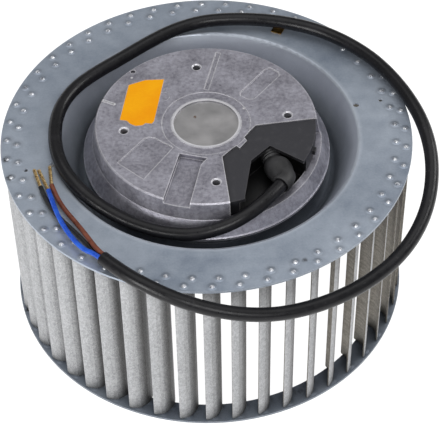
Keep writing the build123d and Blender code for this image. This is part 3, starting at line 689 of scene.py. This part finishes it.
def swept_mesh(name, stations, material, sides=40):
    """Round mesh along stations, each a centre, a direction and a radius."""
    shape = bmesh.new()
    rings = []
    for centre, direction, radius in stations:
        seat = Vector(direction).to_track_quat("Z", "X").to_matrix()
        ring = []
        for k in range(sides):
            turn = 2 * math.pi * k / sides
            ring.append(shape.verts.new(Vector(centre) + seat @ Vector((radius * math.cos(turn),
                                                                        radius * math.sin(turn), 0.0))))
        rings.append(ring)
    for low, high in zip(rings, rings[1:]):
        for k in range(sides):
            shape.faces.new((low[k], low[(k + 1) % sides], high[(k + 1) % sides], high[k]))
    shape.faces.new(reversed(rings[0]))
    shape.faces.new(rings[-1])
    bmesh.ops.recalc_face_normals(shape, faces=shape.faces)
    data = bpy.data.meshes.new(name)
    shape.to_mesh(data)
    shape.free()
    data.materials.append(material)
    for face in data.polygons:
        face.use_smooth = len(face.vertices) == 4
    piece = bpy.data.objects.new(name, data)
    bpy.context.scene.collection.objects.link(piece)
    return piece


def grommet(material):
    """Moulded elbow: ribbed neck, round shoulder, and a tail whose mouth lets the lead out."""
    seat = Vector(grommet_seat)
    bulb = Vector(grommet_bulb)
    leave = Vector(cable_route[0])
    tail = (Vector(cable_route[1]) - leave).normalized()
    knee = leave - tail * knee_length
    neck = (bulb - seat).normalized()
    stations = []
    for k in range(neck_rings):
        radius = neck_crest_radius if k % 2 else neck_groove_radius
        for shift in (-neck_half_ring, neck_half_ring):
            stations.append((seat + neck * (neck_pitch * k + shift), neck, radius))
    shoulder_start = seat.lerp(bulb, neck_share)
    turned = (knee - bulb).normalized()
    for share, radius in shoulder:
        stations.append((shoulder_start.lerp(knee, share), neck.lerp(turned, min(1.0, share * shoulder_turn)),
                         radius))
    for back, radius in mouth:
        stations.append((leave - tail * back, tail, radius))
    return swept_mesh("grommet_elbow", stations, material)


def strands(name, start, tip, material, seed):
    """Twisted bare strands of one stripped wire, a little fanned at the tip."""
    chance = random.Random(seed)
    start = Vector(start)
    along = Vector(tip) - start
    side = along.cross(Vector((0.0, 0.0, 1.0))).normalized()
    rise = side.cross(along).normalized()
    splines = []
    for ring_radius, count in strand_rings:
        for k in range(count):
            first = 2 * math.pi * k / count
            fan = chance.uniform(0.0, strand_fan)
            reach = chance.uniform(strand_shortest, 1.0)
            points = []
            for step in range(strand_steps + 1):
                share = step / strand_steps
                turn = first + 2 * math.pi * strand_turns * share
                spread = ring_radius * (1.0 + fan * share ** 3)
                points.append(start + along * (share * reach) + side * (spread * math.cos(turn))
                              + rise * (spread * math.sin(turn)))
            splines.append(points)
    piece = curve_piece(name, splines, strand_radius, material)
    piece.data.bevel_resolution = strand_detail
    piece.data.splines[0].resolution_u = middle_strand_steps
    return piece


def studio():
    """White floor, a plain world and soft lights."""
    world = bpy.data.worlds.new("studio")
    world.use_nodes = True
    world.node_tree.nodes["Background"].inputs["Color"].default_value = (1.0, 1.0, 1.0, 1.0)
    world.node_tree.nodes["Background"].inputs["Strength"].default_value = world_strength
    bpy.context.scene.world = world
    bpy.context.scene.view_settings.view_transform = "Standard"

    bpy.ops.mesh.primitive_plane_add(size=floor_size, location=(0.0, 0.0, 0.0))
    floor = bpy.context.active_object
    floor.name = "studio_floor"
    floor.data.materials.append(pale_floor())

    for name, place, size, power in lights:
        data = bpy.data.lights.new(name, "AREA")
        data.size = size
        data.energy = power
        light = bpy.data.objects.new(name, data)
        bpy.context.scene.collection.objects.link(light)
        light.location = place
        light.rotation_euler = Vector(place).to_track_quat("Z", "Y").to_euler()


def photograph_camera():
    """Camera at the photograph's viewpoint, with its small pan, tilt and roll."""
    elevation = math.radians(camera_elevation)
    back = Vector((0.0, -math.cos(elevation), math.sin(elevation)))
    place = back * camera_distance
    right = Vector((1.0, 0.0, 0.0))
    up = back.cross(right)
    pan = Matrix.Rotation(math.radians(camera_pan), 3, up)
    back = pan @ back
    right = pan @ right
    tilt = Matrix.Rotation(math.radians(camera_tilt), 3, right)
    back = tilt @ back
    up = tilt @ up
    roll = math.radians(camera_roll)
    level = right * math.cos(roll) + up * math.sin(roll)
    upright = up * math.cos(roll) - right * math.sin(roll)
    data = bpy.data.cameras.new("photograph_camera")
    data.sensor_width = sensor_width
    data.lens = focal_pixels * sensor_width / image_width
    camera = bpy.data.objects.new("photograph_camera", data)
    bpy.context.scene.collection.objects.link(camera)
    camera.matrix_world = Matrix.Translation(place) @ Matrix((level, upright, back)).transposed().to_4x4()
    bpy.context.scene.camera = camera


def dress(name, material):
    """Give a CAD node its material."""
    slots = cad_nodes[name].material_slots
    if slots:
        for slot in slots:
            slot.material = material
    else:
        cad_nodes[name].data.materials.append(material)


def main():
    """Materials on every node, the pieces that replace nodes, and the studio."""
    makers = (
        galvanised_sheet, spangled_sheet, cast_aluminium, cap_steel, lamination_steel, rotor_steel,
        bearing_steel, copper_winding, brass, bare_conductor, black_plastic, insulator_plastic,
        black_rubber, cable_sheath, orange_label,
    )
    looks = {maker.__name__: maker() for maker in makers}
    for name, dark, light in wire_colours:
        looks[name] = insulation(name, srgb(*dark), srgb(*light))
    for entry in frame["record"]["subparts"]:
        dress(entry["node"], looks[entry["material_slot"]])

    cable = curve_piece("lead_sheath", [cable_route], cable_radius, looks["cable_sheath"])
    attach(cable, "stator")
    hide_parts("power_cable")

    for seed, (node, route) in enumerate(wire_routes.items()):
        colour = node.replace("wire_", "") + "_insulation"
        wire = curve_piece(node + "_core", [route], wire_radius, looks[colour])
        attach(wire, "stator")
        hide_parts(node)
        end = strands(node + "_strands", route[-1], conductor_tips[node], looks["bare_conductor"], seed)
        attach(end, "stator")
        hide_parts("conductor_ends")

    elbow = grommet(looks["black_rubber"])
    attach(elbow, "stator")
    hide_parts("cable_grommet")

    studio()
    photograph_camera()


main()
